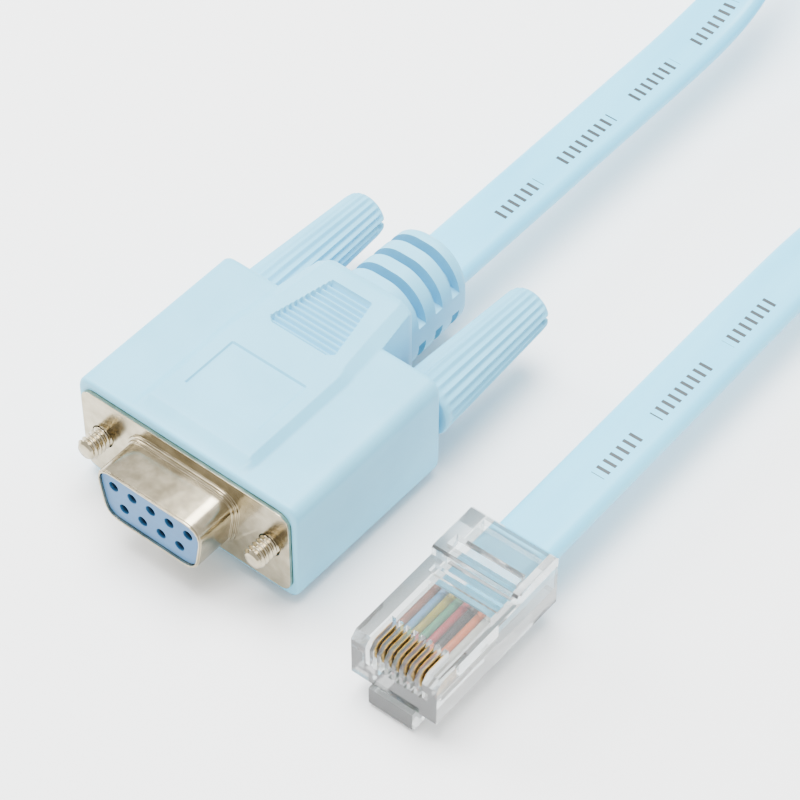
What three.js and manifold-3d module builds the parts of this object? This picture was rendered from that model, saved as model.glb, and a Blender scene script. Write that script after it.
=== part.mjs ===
// Serial console cable: a 9-way D connector with two thumbscrews, a flat cable and an 8-way modular plug.
// Millimetres, +Z up. X runs across the D connector, +Y from its mating face towards the cable.
// The origin is on the ground, under the middle of the connector end.
import * as THREE from 'three';
import { mergeVertices } from 'three/addons/utils/BufferGeometryUtils.js';
import Module from 'manifold-3d';

const wasm = await Module();
wasm.setup();

// Driving dimensions.
const flangeY = -20.55;
const hoodHalfWidth = 16.2;
const hoodHalfHeight = 7.5;
const panelRise = 0.9;
const axisZ = hoodHalfHeight + panelRise;
const hoodFront = 0.5;
const hoodLength = 25.6;
const neckEnd = hoodLength + 5.7;
const bootStart = hoodLength + 7.1;
const bootEnd = hoodLength + 18.2;
const bootHalfHeight = 6.5;
const bootHalfWidth = 5.5;

const flangeWidth = 30.8;
const flangeHeight = 12.5;
const flangeThickness = 0.8;
const flangeCorner = 1.8;
const screwSpacing = 25;
const screwHole = 3.1;
const shellWidth = 16.33;
const shellHeight = 7.9;
const shellLength = 5.9;
const shellWall = 0.4;
const shellCorner = 2.5;
const shellSlant = 10;
const smallGap = 0.06;
const faceGap = 0.3;
const contactPitch = 2.77;
const rowSpacing = 2.84;
const socketHole = 1.4;

const screwDiameter = 2.84;
const screwPitch = 0.635;
const shankDiameter = 2.3;
const screwReach = 3.0;
const knobStart = hoodLength + 0.7;
const knobEnd = knobStart + 20.7;
const knobBaseRadius = 4.0;
const knobEndRadius = 3.0;
const knobFlutes = 22;

const cableWidth = 8.0;
const cableThickness = 2.5;
const coilLeft = -16.4;
const coilNear = 133.6;
const coilStraight = 30.0;
const coilInner = 29.0;
const coilPitch = 2.95;
const coilTurns = 4.78;
const swapRoom = 0.35;
const leadRadius = 50;
const tieWidth = 5;
const tieThickness = 0.5;

const plugWidth = 11.68;
const plugLength = 21.5;
const plugFrontHeight = 6.6;
const plugRearHeight = 8.0;
const plugStep = 14.0;
const plugNose = [33.9, -24.95, 3.2];
const plugTurn = 1.0;
const plugPitch = 1.02;
const latchWidth = 6.0;
const latchTabWidth = 3.25;
const latchDepth = 3.1;

// Colours, as seen on the object.
const finish = {
  hood: { color: 0xbce4f0, roughness: 0.45, metalness: 0 },
  cable: { color: 0xb4ecfb, roughness: 0.38, metalness: 0 },
  nickel: { color: 0xc2bcaa, roughness: 0.25, metalness: 1 },
  insulator: { color: 0x6799bf, roughness: 0.45, metalness: 0 },
  gold: { color: 0xb59a45, roughness: 0.3, metalness: 1 },
  clear: { color: 0xd9dcda, roughness: 0.08, metalness: 0 },
  tie: { color: 0xe9ecec, roughness: 0.5, metalness: 0 },
};
const wireColours = [0xa8604a, 0x7db2ce, 0xc2b23a, 0x5dae88, 0xc9505a, 0x3a4242, 0xee8548, 0xd8d8d2];

const object = new THREE.Group();

function add(name, geometry, material, parent = object) {
  const mesh = new THREE.Mesh(geometry, new THREE.MeshStandardMaterial(material));
  mesh.name = name;
  parent.add(mesh);
  return mesh;
}

// Joins and cuts work on welded solids.
function solid(geometry) {
  const g = geometry.clone();
  for (const name of Object.keys(g.attributes)) {
    if (name !== 'position') g.deleteAttribute(name);
  }
  const welded = mergeVertices(g, 1e-5);
  return new wasm.Manifold(new wasm.Mesh({
    numProp: 3,
    vertProperties: new Float32Array(welded.attributes.position.array),
    triVerts: new Uint32Array(welded.index.array),
  }));
}

function toGeometry(body) {
  const mesh = body.getMesh();
  const geometry = new THREE.BufferGeometry();
  geometry.setAttribute('position', new THREE.BufferAttribute(new Float32Array(mesh.vertProperties), 3));
  geometry.setIndex(new THREE.BufferAttribute(new Uint32Array(mesh.triVerts), 1));
  return geometry;
}

function box(x0, x1, y0, y1, z0, z1) {
  const g = new THREE.BoxGeometry(x1 - x0, y1 - y0, z1 - z0);
  return g.translate((x0 + x1) / 2, (y0 + y1) / 2, (z0 + z1) / 2);
}

// A cylinder along Y; the two radii may differ.
function rod(x, z, y0, y1, r0, r1 = r0, sides = 24) {
  const g = new THREE.CylinderGeometry(r1, r0, y1 - y0, sides);
  return g.translate(x, (y0 + y1) / 2, z);
}

// An outline in the XZ plane, drawn out along Y.
function plate(shape, y0, y1) {
  const g = new THREE.ExtrudeGeometry(shape, { depth: y1 - y0, bevelEnabled: false, curveSegments: 5 });
  return g.rotateX(Math.PI / 2).translate(0, y1, 0);
}

// A closed body through rings of points, each ring an array of [x, y, z] seen counter-clockwise from +Y.
function loft(rings) {
  const n = rings[0].length;
  const positions = rings.flat(2);
  const index = [];
  for (let i = 0; i < rings.length - 1; i++) {
    for (let j = 0; j < n; j++) {
      const a = i * n + j;
      const b = i * n + (j + 1) % n;
      index.push(a, b, b + n, a, b + n, a + n);
    }
  }
  for (const [k, flip] of [[0, true], [rings.length - 1, false]]) {
    const base = k * n;
    for (let j = 1; j < n - 1; j++) {
      if (flip) index.push(base, base + j + 1, base + j);
      else index.push(base, base + j, base + j + 1);
    }
  }
  const g = new THREE.BufferGeometry();
  g.setAttribute('position', new THREE.BufferAttribute(new Float32Array(positions), 3));
  g.setIndex(index);
  return g;
}

// A rectangle in XZ as a ring at the given y, counter-clockwise from +Y. Its corners are elliptical where
// bulge is 1 and cut straight where it is 0.
function ring(y, w, h, rx, ry, bulge = 1, steps = 4) {
  const points = [];
  for (const [sx, sz, start] of [[1, -1, -90], [1, 1, 0], [-1, 1, 90], [-1, -1, 180]]) {
    const a0 = THREE.MathUtils.degToRad(start);
    const a1 = THREE.MathUtils.degToRad(start + 90);
    for (let k = 0; k <= steps; k++) {
      const a = a0 + (a1 - a0) * k / steps;
      const straightC = THREE.MathUtils.lerp(Math.cos(a0), Math.cos(a1), k / steps);
      const straightS = THREE.MathUtils.lerp(Math.sin(a0), Math.sin(a1), k / steps);
      const c = THREE.MathUtils.lerp(straightC, Math.cos(a), bulge);
      const s = THREE.MathUtils.lerp(straightS, Math.sin(a), bulge);
      points.push([-(sx * (w - rx) + rx * c), y, sz * (h - ry) + ry * s]);
    }
  }
  return points;
}

// The D outline of the connector: the wide side up, its sides slanted, its corners rounded.
function dShape(width, height, corner) {
  const slant = Math.tan(THREE.MathUtils.degToRad(shellSlant)) * height / 2;
  const h = height / 2;
  const wide = width / 2;
  const narrow = width / 2 - 2 * slant;
  const corners = [[-narrow, -h], [narrow, -h], [wide, h], [-wide, h]];
  const shape = new THREE.Shape();
  corners.forEach((c, i) => {
    const prev = corners[(i + 3) % 4];
    const next = corners[(i + 1) % 4];
    const back = new THREE.Vector2(prev[0] - c[0], prev[1] - c[1]).normalize();
    const on = new THREE.Vector2(next[0] - c[0], next[1] - c[1]).normalize();
    const cut = corner * Math.tan((Math.PI - back.angleTo(on)) / 2);
    const p = [c[0] + back.x * cut, c[1] + back.y * cut];
    const q = [c[0] + on.x * cut, c[1] + on.y * cut];
    if (i === 0) shape.moveTo(p[0], p[1]);
    else shape.lineTo(p[0], p[1]);
    shape.quadraticCurveTo(c[0], c[1], q[0], q[1]);
  });
  shape.closePath();
  return shape;
}

function roundedRectangle(width, height, r) {
  const w = width / 2;
  const h = height / 2;
  const s = new THREE.Shape();
  s.moveTo(-w + r, -h);
  s.lineTo(w - r, -h);
  s.quadraticCurveTo(w, -h, w, -h + r);
  s.lineTo(w, h - r);
  s.quadraticCurveTo(w, h, w - r, h);
  s.lineTo(-w + r, h);
  s.quadraticCurveTo(-w, h, -w, h - r);
  s.lineTo(-w, -h + r);
  s.quadraticCurveTo(-w, -h, -w + r, -h);
  return s;
}

// The connector end is drawn about its own axis and then lifted onto the ground.
const connector = new THREE.Group();
connector.position.set(0, flangeY, axisZ);
object.add(connector);

// Hood: a flat block, a raised panel on both faces that runs back into the neck, and the slotted boot.
const block = loft([
  ring(hoodFront, hoodHalfWidth - 0.3, hoodHalfHeight - 0.2, 1.4, 1.9),
  ring(hoodFront + 0.5, hoodHalfWidth, hoodHalfHeight, 1.4, 1.9),
  ring(hoodLength - 0.8, hoodHalfWidth, hoodHalfHeight, 1.4, 1.9),
  ring(hoodLength, hoodHalfWidth - 0.7, hoodHalfHeight - 0.7, 1.2, 1.6),
]);
const panelTop = hoodHalfHeight + panelRise;
const panelEdge = 0.9;
const spine = loft([
  [1.2, 8.45, hoodHalfHeight - 0.02, 0.3, 0.1, 0],
  [3.1, 8.5, panelTop, 1.1, panelEdge, 0],
  [hoodLength - 7.0, 8.5, panelTop, 1.2, panelEdge, 0],
  [hoodLength - 5.6, 8.25, panelTop, 1.5, panelEdge, 0],
  [hoodLength, 7.75, panelTop, 1.75, panelEdge, 0],
  [neckEnd, 6.8, panelTop, 1.35, panelEdge, 0],
  [neckEnd + 0.8, 6.5, panelTop - 0.4, 1.6, 1.4, 0.6],
  [bootStart, bootHalfWidth + 0.1, bootHalfHeight + 0.2, 4.6, 5.2, 1],
  [bootEnd - 0.4, bootHalfWidth, bootHalfHeight, 4.9, 5.7, 1],
  [bootEnd, bootHalfWidth - 0.4, bootHalfHeight - 0.4, 4.6, 5.4, 1],
].map(([y, w, h, rx, ry, bulge]) => ring(y, w, h, rx, ry, bulge)));
let hood = solid(block).add(solid(spine));

const slotWidth = 1.35;
const slotPitch = 3.15;
const firstSlot = bootStart + 1.9;
const slotCore = 3.3;
const webHalf = 1.5;
for (let i = 0; i < 3; i++) {
  const y = firstSlot + i * slotPitch;
  const cut = solid(box(-7, 7, y, y + slotWidth, webHalf, 8))
    .subtract(solid(box(-slotCore, slotCore, y - 1, y + slotWidth + 1, 0, slotCore - 0.6)));
  hood = hood.subtract(cut).subtract(cut.mirror([0, 0, 1]));
}

// Grip: eleven grooves across the panel, getting shorter towards the cable.
const grooves = 11;
const gripStart = hoodLength - 5.6;
const gripPitch = 0.86;
const gripEnd = gripStart + (grooves - 1) * gripPitch + 0.6;
const gripShape = new THREE.Shape([
  new THREE.Vector2(-4.75, gripStart + 0.8),
  new THREE.Vector2(-3.9, gripStart - 0.1),
  new THREE.Vector2(3.9, gripStart - 0.1),
  new THREE.Vector2(4.75, gripStart + 0.8),
  new THREE.Vector2(2.9, gripEnd),
  new THREE.Vector2(-2.9, gripEnd),
]);
const gripRecess = solid(
  new THREE.ExtrudeGeometry(gripShape, { depth: 2, bevelEnabled: false }).translate(0, 0, panelTop - 0.25),
);
hood = hood.subtract(gripRecess).subtract(gripRecess.mirror([0, 0, 1]));
for (let i = 0; i < grooves; i++) {
  const y = gripStart + i * gripPitch;
  const half = Math.min(4.6, 4.75 - 1.85 * (y - gripStart - 0.8) / (gripEnd - gripStart - 0.8)) - 0.1;
  const groove = solid(box(-half, half, y, y + 0.45, panelTop - 0.6, panelTop + 1));
  hood = hood.subtract(groove).subtract(groove.mirror([0, 0, 1]));
}

// Shallow label recess on the upper panel, left blank.
hood = hood.subtract(solid(box(-5.4, 5.4, 7.0, 14.7, panelTop - 0.25, panelTop + 1)));

// The seat of the metal flange, and the two screw channels.
const seat = roundedRectangle(flangeWidth + 2 * smallGap, flangeHeight + 2 * smallGap, flangeCorner);
hood = hood.subtract(solid(plate(seat, -1, flangeThickness + smallGap)));
const channel = screwDiameter + 0.6;
for (const side of [-1, 1]) {
  hood = hood.subtract(solid(rod(side * screwSpacing / 2, 0, -1, hoodLength + 1, channel / 2)));
}
add('hood', toGeometry(hood), finish.hood, connector);

// Front shell: the flange with two holes and the D-shaped sleeve drawn out of it.
let shell = solid(plate(roundedRectangle(flangeWidth, flangeHeight, flangeCorner), 0, flangeThickness));
shell = shell.add(solid(plate(dShape(shellWidth + 1.2, shellHeight + 1.2, shellCorner + 0.6), -0.3, 0.1)));
shell = shell.add(solid(plate(dShape(shellWidth + 0.5, shellHeight + 0.5, shellCorner + 0.25), -0.7, 0.1)));
shell = shell.add(solid(plate(dShape(shellWidth, shellHeight, shellCorner), -shellLength + 0.2, 0.1)));
const lipDrop = 0.3;
const lipShape = dShape(shellWidth - lipDrop, shellHeight - lipDrop, shellCorner - 0.1);
shell = shell.add(solid(plate(lipShape, -shellLength, 0)));
const bore = dShape(shellWidth - 2 * shellWall, shellHeight - 2 * shellWall, shellCorner - shellWall);
shell = shell.subtract(solid(plate(bore, -shellLength - 1, flangeThickness + 1)));
for (const side of [-1, 1]) {
  shell = shell.subtract(solid(rod(side * screwSpacing / 2, 0, -1, flangeThickness + 1, screwHole / 2)));
}
add('front_shell', toGeometry(shell), finish.nickel, connector);

// Insulator with its nine holes: five above, four below.
const insulatorFront = -shellLength + 0.35;
const cover = shellWall + smallGap;
let insulator = solid(plate(
  dShape(shellWidth - 2 * cover, shellHeight - 2 * cover, shellCorner - cover),
  insulatorFront,
  flangeThickness,
));
const pins = [];
for (let i = 0; i < 5; i++) pins.push([(i - 2) * contactPitch, rowSpacing / 2]);
for (let i = 0; i < 4; i++) pins.push([(i - 1.5) * contactPitch, -rowSpacing / 2]);
for (const [x, z] of pins) {
  const hole = rod(x, z, insulatorFront - 1, -0.2, socketHole / 2, socketHole / 2, 16);
  insulator = insulator.subtract(solid(hole));
}
add('socket_insulator', toGeometry(insulator), finish.insulator, connector);

// Female contacts: sleeves standing back in the holes.
pins.forEach(([x, z], i) => {
  const sleeve = solid(rod(x, z, insulatorFront + 0.9, -0.25, 0.5, 0.5, 12))
    .subtract(solid(rod(x, z, insulatorFront, -1.2, 0.36, 0.36, 12)));
  add(`socket_contact_${i + 1}`, toGeometry(sleeve), finish.gold, connector);
});

// Thumbscrews: a steel screw with a turned thread, and a fluted knob moulded on its rear end.
function screwGeometry() {
  const profile = [[0, -screwReach], [screwDiameter / 2 - 0.35, -screwReach]];
  const rootRadius = screwDiameter / 2 - 0.34;
  for (let y = -screwReach + 0.25; y < hoodLength * 0.16; y += screwPitch) {
    profile.push([screwDiameter / 2, y], [rootRadius, y + screwPitch / 2]);
  }
  const last = profile[profile.length - 1][1];
  profile.push([shankDiameter / 2, last + 0.4], [shankDiameter / 2, knobStart + 8], [0, knobStart + 8]);
  const points = profile.map(([r, y]) => new THREE.Vector2(r, y));
  return new THREE.LatheGeometry(points, 16);
}

function knobGeometry() {
  const steps = knobFlutes * 4;
  const section = (y, r, depth) => {
    const points = [];
    for (let k = 0; k < steps; k++) {
      const a = 2 * Math.PI * k / steps;
      const radius = r - depth * (0.5 - 0.5 * Math.cos(knobFlutes * a));
      points.push([radius * Math.cos(a), y, -radius * Math.sin(a)]);
    }
    return points;
  };
  let knob = solid(loft([
    section(knobStart, knobBaseRadius - 0.5, 0),
    section(knobStart + 0.35, knobBaseRadius - 0.05, 0.05),
    section(knobStart + 1.2, knobBaseRadius, 0.4),
    section(knobEnd - 0.6, knobEndRadius, 0.15),
    section(knobEnd, knobEndRadius - 0.35, 0),
  ]));
  const shaftHole = rod(0, 0, knobStart - 1, knobStart + 8 + smallGap * 2, shankDiameter / 2 + smallGap);
  knob = knob.subtract(solid(shaftHole));
  const slot = solid(box(-5, 5, knobEnd - 1.6, knobEnd + 1, -0.5, 0.5));
  return toGeometry(knob.subtract(slot));
}

for (const [side, name] of [[-1, 'left'], [1, 'right']]) {
  const screw = add(`thumbscrew_screw_${name}`, screwGeometry(), finish.nickel, connector);
  screw.position.x = side * screwSpacing / 2;
  const knob = add(`thumbscrew_knob_${name}`, knobGeometry(), finish.hood, connector);
  knob.position.x = side * screwSpacing / 2;
}

// Modular plug: lying level on its latch, contacts up, its nose towards -Y.
const plug = new THREE.Group();
plug.position.set(plugNose[0], plugNose[1], plugNose[2]);
plug.rotation.z = THREE.MathUtils.degToRad(plugTurn);
object.add(plug);
const plugHalf = plugWidth / 2;

function sideOutline(points, x0, x1) {
  const s = new THREE.Shape(points.map(([y, z]) => new THREE.Vector2(y, z)));
  const g = new THREE.ExtrudeGeometry(s, { depth: x1 - x0, bevelEnabled: false });
  // Shape x becomes +Y, shape y becomes +Z, depth becomes +X.
  g.applyMatrix4(new THREE.Matrix4().set(0, 0, 1, x0, 1, 0, 0, 0, 0, 1, 0, 0, 0, 0, 0, 1));
  return g;
}

const jacketStart = 11.8;
const jacketZ = 3.6;
const wireZ = 2.9;
const wireRadius = 0.46;
const cavityHalf = cableWidth / 2 + 0.3;
let housing = solid(sideOutline([
  [0, 0], [plugLength, 0], [plugLength, plugRearHeight - 0.5], [plugLength - 0.5, plugRearHeight],
  [plugStep + 0.3, plugRearHeight], [plugStep, plugRearHeight - 0.3], [plugStep, plugFrontHeight],
  [0.9, plugFrontHeight], [0, plugFrontHeight - 0.9],
], -plugHalf, plugHalf));
const cavity = sideOutline([
  [jacketStart - 0.4, jacketZ - 1.55], [plugLength + 1, jacketZ - 1.75],
  [plugLength + 1, jacketZ + 1.75], [jacketStart - 0.4, jacketZ + 1.55],
], -cavityHalf, cavityHalf);
housing = housing.subtract(solid(cavity));
housing = housing.subtract(solid(box(-4.2, 4.2, 1.4, jacketStart, wireZ - 0.6, wireZ + 0.6)));
const windowHalf = 4.7;
housing = housing.subtract(solid(sideOutline([
  [plugStep - 2.0, plugFrontHeight + 1], [plugStep - 2.0, plugFrontHeight - 0.7],
  [plugStep - 0.8, plugFrontHeight - 0.7], [plugStep - 0.8, plugFrontHeight + 1],
], -windowHalf, windowHalf)));
housing = housing.subtract(solid(sideOutline([
  [15.3, plugRearHeight + 1], [15.3, plugRearHeight - 1.4], [16.9, plugRearHeight - 0.9],
  [17.2, plugRearHeight + 1],
], -windowHalf, windowHalf)));
const bladeTop = 5.9;
const contactX = (i) => (i - 3.5) * plugPitch;
for (let i = 0; i < 8; i++) {
  const x = contactX(i);
  housing = housing.subtract(solid(box(x - 0.27, x + 0.27, -1, 4.6, wireZ, plugFrontHeight + 1)));
}
add('plug_housing', toGeometry(housing), finish.clear, plug);

for (let i = 0; i < 8; i++) {
  const x = contactX(i);
  const blade = sideOutline([
    [0.9, wireZ + wireRadius + 0.14], [4.3, wireZ + wireRadius + 0.14], [4.3, bladeTop], [1.7, bladeTop],
    [1.1, bladeTop - 0.25], [0.9, bladeTop - 0.8],
  ], x - 0.16, x + 0.16);
  add(`plug_contact_${i + 1}`, blade, finish.gold, plug);
  const wire = rod(x, wireZ, 1.7, jacketStart - 0.3, wireRadius, wireRadius, 12);
  add(`wire_${i + 1}`, wire, { color: wireColours[i], roughness: 0.4, metalness: 0 }, plug);
}

// Latch: a root under the nose and an arm that runs back under the housing, narrow past its shoulders.
const latchHalf = latchWidth / 2;
const tabHalf = latchTabWidth / 2;
let latch = solid(sideOutline([
  [-0.6, -0.1], [-0.6, -2.7], [-0.2, -latchDepth], [9.0, -latchDepth],
  [9.0, -2.05], [2.2, -1.6], [1.5, -0.9],
  [1.5, -0.1],
], -latchHalf, latchHalf));
latch = latch.add(solid(sideOutline([
  [8.9, -latchDepth], [19.6, -latchDepth], [20.2, -latchDepth + 0.5], [20.2, -2.1], [8.9, -2.05],
], -tabHalf, tabHalf)));
add('plug_latch', toGeometry(latch), finish.clear, plug);

// Flat cable: a section with rounded edges carried along a route, level or standing on its edge.
function cableSection(width, thickness) {
  const r = thickness / 2;
  const points = [];
  for (const side of [1, -1]) {
    for (let k = 0; k < 6; k++) {
      const a = THREE.MathUtils.degToRad(-90 + 36 * k) + (side < 0 ? Math.PI : 0);
      points.push(new THREE.Vector2(side * (width / 2 - r) + r * Math.cos(a), r * Math.sin(a)));
    }
  }
  return new THREE.Shape(points);
}

class RibbonPath extends THREE.Curve {
  constructor(points, rolls) {
    super();
    this.curve = new THREE.CatmullRomCurve3(points);
    this.rolls = rolls;
  }

  getPoint(t, target = new THREE.Vector3()) {
    return this.curve.getPoint(t, target);
  }

  rollAt(t) {
    const f = t * (this.rolls.length - 1);
    const i = Math.min(Math.floor(f), this.rolls.length - 2);
    return THREE.MathUtils.lerp(this.rolls[i], this.rolls[i + 1], f - i);
  }

  // The width lies level at roll 0 and stands upright at roll 90 degrees.
  computeFrenetFrames(segments) {
    const frames = { tangents: [], normals: [], binormals: [] };
    for (let i = 0; i <= segments; i++) {
      const u = i / segments;
      const t = this.getUtoTmapping(u);
      const tangent = this.getTangent(t).normalize();
      const level = new THREE.Vector3().crossVectors(tangent, new THREE.Vector3(0, 0, 1)).normalize();
      const up = new THREE.Vector3().crossVectors(level, tangent).normalize();
      const roll = this.rollAt(t);
      const normal = level.multiplyScalar(Math.cos(roll)).addScaledVector(up, Math.sin(roll));
      frames.tangents.push(tangent);
      frames.normals.push(normal);
      frames.binormals.push(new THREE.Vector3().crossVectors(tangent, normal));
    }
    return frames;
  }
}

// Smooth change from a to b as s runs from s0 to s1.
function ease(s, s0, s1, a, b) {
  const t = Math.min(1, Math.max(0, (s - s0) / (s1 - s0)));
  return a + (b - a) * t * t * (3 - 2 * t);
}

// Plan route of straights and arcs: [length] or [radius, turn in degrees], sampled every few millimetres.
function planRoute(x, y, heading, legs, step) {
  const points = [];
  let s = 0;
  let a = THREE.MathUtils.degToRad(heading);
  for (const [size, turn] of legs) {
    const bend = turn ? THREE.MathUtils.degToRad(turn) : 0;
    const length = turn ? Math.abs(bend) * size : size;
    const n = Math.max(2, Math.round(length / step));
    for (let k = 0; k < n; k++) {
      points.push([x, y, s]);
      const d = length / n;
      a += bend / n / 2;
      x += d * Math.cos(a);
      y += d * Math.sin(a);
      a += bend / n / 2;
      s += d;
    }
  }
  points.push([x, y, s]);
  return points;
}

// The put-away length is a tied oval coil, wound on edge in two layers: inwards above, outwards below.
const outerLane = coilInner + coilPitch * (coilTurns / 2 + swapRoom);
const ringInner = coilInner - cableThickness / 2 - 0.1;
const ringOuter = outerLane + cableThickness / 2 + 0.1;
const coilX = coilLeft + ringOuter;
const coilFar = coilNear + coilStraight;
const standing = cableWidth / 2 + 0.05;
const stacked = standing + cableWidth + 0.1;
const coilTop = stacked + cableWidth / 2 + 0.05;

// How far a place in plan is from the line between the two centres of the oval.
function fromOval(x, y) {
  const nearest = Math.min(coilFar, Math.max(coilNear, y));
  return Math.hypot(x - coilX, y - nearest);
}

// A run stops where its standing edge would touch the coil.
const runClear = ringOuter + cableThickness / 2 + 0.1;
function clearOfCoil(plan) {
  const end = plan.findIndex(([x, y]) => fromOval(x, y) < runClear);
  const kept = end < 0 ? plan : plan.slice(0, end);
  return kept.filter((point, i) => i % 15 === 0 || i === kept.length - 1);
}

// Connector side: straight out of the boot, then in a bend onto the left of the coil, up to its upper layer.
const runStartY = flangeY + bootEnd + faceGap;
const leadA = Math.acos((coilX + leadRadius) / (leadRadius + outerLane));
const straightRun = coilNear - (outerLane + leadRadius) * Math.sin(leadA) - runStartY;
const legsA = [[straightRun], [leadRadius, THREE.MathUtils.radToDeg(leadA)]];
const planA = clearOfCoil(planRoute(0, runStartY, 90, legsA, 0.2));
const endA = planA[planA.length - 1][2];
const pointsA = planA.map(([x, y, s]) => {
  const z = ease(s, straightRun - 12, endA - 1, axisZ, stacked);
  return new THREE.Vector3(x, y, z);
});
const rollsA = planA.map(([, , s]) => ease(s, straightRun - 4, endA - 1, 0, Math.PI / 2));

// Plug side: straight from the plug, then in a bend onto the right of the coil, down on edge
// to its lower layer.
const plugDir = THREE.MathUtils.degToRad(90 + plugTurn);
const ahead = [Math.cos(plugDir), Math.sin(plugDir)];
const rearX = plugNose[0] + (plugLength + faceGap) * ahead[0];
const rearY = plugNose[1] + (plugLength + faceGap) * ahead[1];
const bendX = rearX + leadRadius * ahead[1] - coilX;
const bendY = rearY - leadRadius * ahead[0] - coilNear;
const nearBy = bendX * ahead[0] + bendY * ahead[1];
const bendReach = leadRadius + outerLane;
const straightB = -nearBy - Math.sqrt(bendReach ** 2 - bendX ** 2 - bendY ** 2 + nearBy ** 2);
const joinB = Math.atan2(bendY + straightB * ahead[1], bendX + straightB * ahead[0]);
const leadB = THREE.MathUtils.radToDeg(plugDir - (joinB + Math.PI / 2));
const legsB = [[straightB], [leadRadius, -leadB]];
const planB = clearOfCoil(planRoute(rearX, rearY, 90 + plugTurn, legsB, 0.2));
const endB = planB[planB.length - 1][2];
const plugCableZ = plugNose[2] + jacketZ;
const pointsB = planB.map(([x, y, s]) => {
  const z = ease(s, 50, endB - 8, plugCableZ, standing);
  return new THREE.Vector3(x, y, z);
});
const rollsB = planB.map(([, , s]) => ease(s, 58, endB - 4, 0, Math.PI / 2));

function cableTube(points, rolls, steps) {
  return new THREE.ExtrudeGeometry(cableSection(cableWidth, cableThickness), {
    steps,
    extrudePath: new RibbonPath(points, rolls),
    bevelEnabled: false,
  });
}

add('cable_run_connector_side', cableTube(pointsA, rollsA, 32), finish.cable);
add('cable_run_plug_side', cableTube(pointsB, rollsB, 36), finish.cable);

// An oval in plan: two half circles of radius r round the coil's centres, joined by straights.
function oval(r, path = new THREE.Shape()) {
  path.moveTo(coilX + r, coilNear);
  path.lineTo(coilX + r, coilFar);
  path.absarc(coilX, coilFar, r, 0, Math.PI, false);
  path.lineTo(coilX - r, coilNear);
  path.absarc(coilX, coilNear, r, Math.PI, 2 * Math.PI, false);
  return path;
}

const coilShape = oval(ringOuter);
coilShape.holes.push(oval(ringInner, new THREE.Path()));
let coil = solid(new THREE.ExtrudeGeometry(coilShape, {
  depth: coilTop,
  bevelEnabled: false,
  curveSegments: 24,
}));

// A strap round the right side of the coil, let into it by most of its thickness.
const tieY = coilNear + coilStraight * 0.6;
const tieMiddle = coilX + (ringInner + ringOuter) / 2;
const tieOuterWidth = ringOuter - ringInner + 0.3;
const tieOuterHeight = coilTop + 0.15;
const strap = plate(
  roundedRectangle(tieOuterWidth, tieOuterHeight, 0.9),
  tieY - tieWidth / 2,
  tieY + tieWidth / 2,
).translate(tieMiddle, 0, tieOuterHeight / 2);
const seatHalf = tieWidth / 2 + smallGap;
const around = box(tieMiddle - 9, tieMiddle + 9, tieY - seatHalf, tieY + seatHalf, -1, coilTop + 2);
const kept = plate(
  roundedRectangle(
    tieOuterWidth - 2 * (tieThickness + smallGap),
    tieOuterHeight - 2 * (tieThickness + smallGap),
    0.9 - tieThickness - smallGap,
  ),
  tieY - seatHalf - 1,
  tieY + seatHalf + 1,
).translate(tieMiddle, 0, tieOuterHeight / 2);
coil = coil.subtract(solid(around).subtract(solid(kept)));
add('cable_coil', toGeometry(coil), finish.cable);
const tieHole = plate(
  roundedRectangle(tieOuterWidth - 2 * tieThickness, tieOuterHeight - 2 * tieThickness, 0.9 - tieThickness),
  tieY - tieWidth,
  tieY + tieWidth,
).translate(tieMiddle, 0, tieOuterHeight / 2);
add('coil_tie', toGeometry(solid(strap).subtract(solid(tieHole))), finish.tie);

// The end of the jacket inside the plug.
const jacket = new THREE.ExtrudeGeometry(cableSection(cableWidth - 0.2, cableThickness), {
  depth: plugLength - faceGap - jacketStart,
  bevelEnabled: false,
});
jacket.rotateX(Math.PI / 2).translate(0, plugLength - faceGap, jacketZ);
add('cable_jacket_end', jacket, finish.cable, plug);

export default object;
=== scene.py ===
import math
import bmesh
import bpy
import numpy as np
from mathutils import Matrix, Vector


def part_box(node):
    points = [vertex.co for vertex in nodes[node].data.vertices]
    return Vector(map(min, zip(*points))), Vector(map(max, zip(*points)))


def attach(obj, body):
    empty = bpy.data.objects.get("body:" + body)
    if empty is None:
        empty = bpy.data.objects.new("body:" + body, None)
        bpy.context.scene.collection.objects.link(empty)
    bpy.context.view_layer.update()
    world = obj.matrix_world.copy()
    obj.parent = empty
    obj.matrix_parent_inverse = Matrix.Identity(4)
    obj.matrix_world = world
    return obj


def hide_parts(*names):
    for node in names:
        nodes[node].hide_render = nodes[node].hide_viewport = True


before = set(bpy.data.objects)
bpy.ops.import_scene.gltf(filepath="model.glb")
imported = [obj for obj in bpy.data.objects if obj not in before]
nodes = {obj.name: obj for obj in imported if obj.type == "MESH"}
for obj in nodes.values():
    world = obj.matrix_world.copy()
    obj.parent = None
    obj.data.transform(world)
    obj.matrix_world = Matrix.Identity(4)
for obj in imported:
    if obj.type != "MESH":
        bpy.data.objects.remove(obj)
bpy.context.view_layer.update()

mm = 0.001


# The camera, from the photograph's standpoint.
camera = dict(
    azimuth=39.43,  # degrees, 0 looks along +Y
    elevation=48.04,
    distance=378.0,
    target=(5.22, 11.0, 0.0),
    lens=144.0,
)


def makeCamera(v):
    a, e = math.radians(v["azimuth"]), math.radians(v["elevation"])
    back = Vector((math.sin(a) * math.cos(e), -math.cos(a) * math.cos(e), math.sin(e)))
    data = bpy.data.cameras.new("studioCamera")
    data.lens = v["lens"]
    data.sensor_width = 36
    data.clip_start, data.clip_end = 0.01, 20
    shown = bpy.data.objects.new("studioCamera", data)
    shown.rotation_mode = "QUATERNION"
    shown.rotation_quaternion = (-back).to_track_quat("-Z", "Y")
    shown.location = (Vector(v["target"]) + back * v["distance"]) * mm
    bpy.context.scene.collection.objects.link(shown)
    bpy.context.scene.camera = shown


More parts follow.
